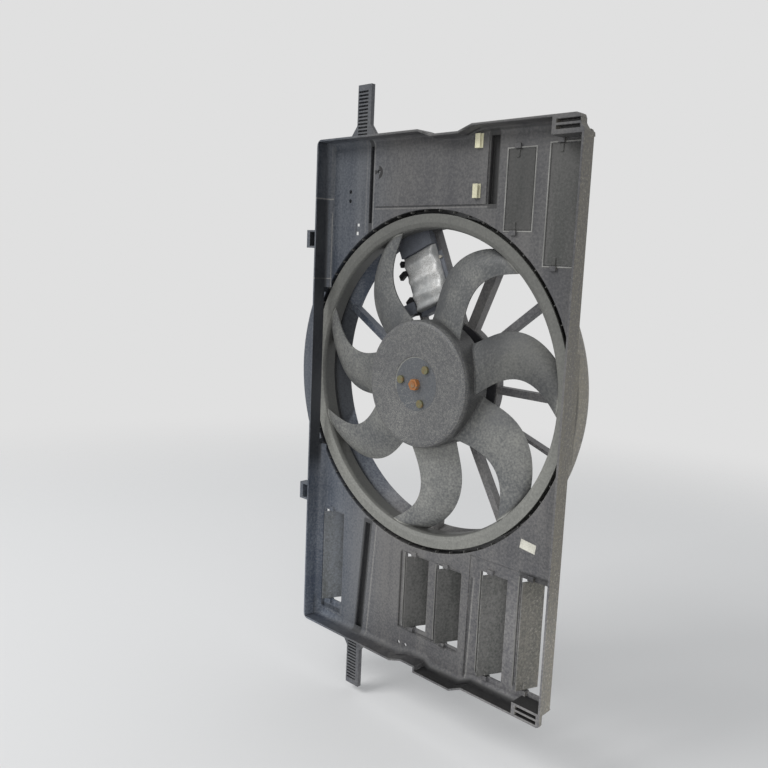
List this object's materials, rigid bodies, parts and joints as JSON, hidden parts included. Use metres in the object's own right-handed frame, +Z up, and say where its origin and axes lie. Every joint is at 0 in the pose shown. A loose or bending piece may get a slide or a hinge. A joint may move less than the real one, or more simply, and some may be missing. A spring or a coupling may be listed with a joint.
{
  "type": "radiator fan shroud",
  "caption": "Plastic radiator shroud that carries a ring fan on an electric motor, a control module and vertical ram-air flaps, with snap tongues and side hooks.",
  "frame": {"origin": "on the fan's axis, in the plane of the rim that lies on the radiator", "axes": "+Z is up, +X is to the right when the radiator side is seen, and -Y points to the radiator"},
  "size_m": [0.4499, 0.092, 0.806],
  "materials": {
    "shroud_plastic": "satin",
    "fan_plastic": "satin",
    "zinc_steel": "dull",
    "shaft_steel": "brushed",
    "core_iron": "dull",
    "copper": "satin",
    "painted_steel": "satin",
    "magnet": "dull",
    "module_plastic": "satin",
    "carbon": "dull",
    "spring_steel": "satin",
    "cast_aluminium": "cast",
    "label_paper": "matte"
  },
  "bodies": {
    "shroud": {"shroud_panel": "shroud_plastic", "fan_carrier": "shroud_plastic", "motor_can": "painted_steel", "motor_end_cap": "painted_steel", "motor_magnets": "magnet", "front_bearing": "shaft_steel", "rear_bearing": "shaft_steel", "brush_plate": "module_plastic", "brushes": "carbon", "brush_springs": "spring_steel", "motor_screws": "zinc_steel", "module_heatsink": "cast_aluminium", "module_housing": "module_plastic", "module_screws": "zinc_steel", "spring_clip_upper": "spring_steel", "spring_clip_lower": "spring_steel", "blank_label": "label_paper"},
    "fan": {"fan_rotor": "fan_plastic", "fan_driver": "zinc_steel", "fan_screws": "zinc_steel", "shaft_nut": "zinc_steel", "motor_shaft": "shaft_steel", "armature_core": "core_iron", "armature_windings": "copper", "commutator": "copper"},
    "flap_far_left": {"flap_far_left": "shroud_plastic"},
    "flap_upper_inner": {"flap_upper_inner": "shroud_plastic"},
    "flap_upper_outer": {"flap_upper_outer": "shroud_plastic"},
    "flap_lower_inner": {"flap_lower_inner": "shroud_plastic"},
    "flap_lower_middle": {"flap_lower_middle": "shroud_plastic"},
    "flap_lower_right": {"flap_lower_right": "shroud_plastic"},
    "flap_lower_outer": {"flap_lower_outer": "shroud_plastic"}
  },
  "joints": [
    {"name": "fan_spin", "type": "hinge", "parent": "shroud", "child": "fan", "pos_m": [0, 0.045, 0], "axis": [0, 1, 0], "continuous": true},
    {"name": "far_left_turn", "type": "hinge", "parent": "shroud", "child": "flap_far_left", "pos_m": [-0.15931, 0.02525, -0.2705], "axis": [0, 0, 1], "range_deg": [-65, 10]},
    {"name": "upper_inner_turn", "type": "hinge", "parent": "shroud", "child": "flap_upper_inner", "pos_m": [0.12319, 0.02525, 0.234], "axis": [0, 0, 1], "range_deg": [0, 75]},
    {"name": "upper_outer_turn", "type": "hinge", "parent": "shroud", "child": "flap_upper_outer", "pos_m": [0.17869, 0.02525, 0.2165], "axis": [0, 0, 1], "range_deg": [0, 75]},
    {"name": "lower_inner_turn", "type": "hinge", "parent": "shroud", "child": "flap_lower_inner", "pos_m": [0.00069, 0.02525, -0.2745], "axis": [0, 0, 1], "range_deg": [-65, 10]},
    {"name": "lower_middle_turn", "type": "hinge", "parent": "shroud", "child": "flap_lower_middle", "pos_m": [0.05419, 0.02525, -0.27575], "axis": [0, 0, 1], "range_deg": [-65, 10]},
    {"name": "lower_right_turn", "type": "hinge", "parent": "shroud", "child": "flap_lower_right", "pos_m": [0.12269, 0.02525, -0.2775], "axis": [0, 0, 1], "range_deg": [-65, 10]},
    {"name": "lower_outer_turn", "type": "hinge", "parent": "shroud", "child": "flap_lower_outer", "pos_m": [0.17919, 0.02525, -0.2705], "axis": [0, 0, 1], "range_deg": [-70, 5]}
  ]
}
